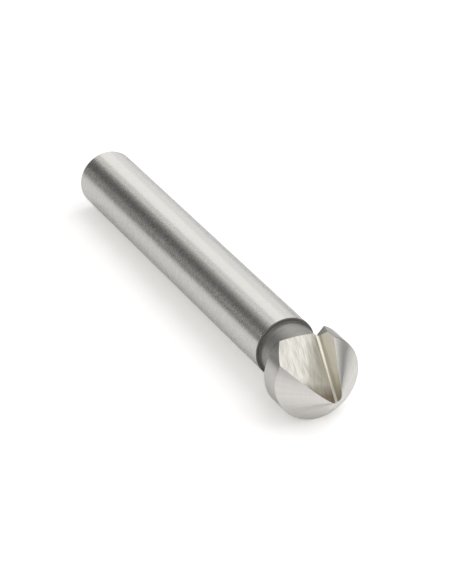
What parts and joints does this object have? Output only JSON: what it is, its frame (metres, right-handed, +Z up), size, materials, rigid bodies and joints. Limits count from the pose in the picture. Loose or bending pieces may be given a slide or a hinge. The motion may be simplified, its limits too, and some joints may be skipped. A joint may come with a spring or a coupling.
{
  "type": "countersink bit",
  "caption": "One-piece 90 degree countersink with a plain round shank, a turned-down neck and a conical head cut by a single V-shaped flute.",
  "frame": {"origin": "on the ground, under the centre of the lying tool's bounding box", "axes": "+X along the tool towards its tip, +Z up; the axis climbs 1.52 degrees towards the tip, because the tool lies on the rims of its shank and its wider head"},
  "size_m": [0.05, 0.0082, 0.008],
  "materials": {
    "steel": "ground high-speed steel, satin on the shank, land and cone, bright in the flute and dark on the turned neck"
  },
  "bodies": {
    "root": {"countersink": "steel"}
  },
  "joints": []
}
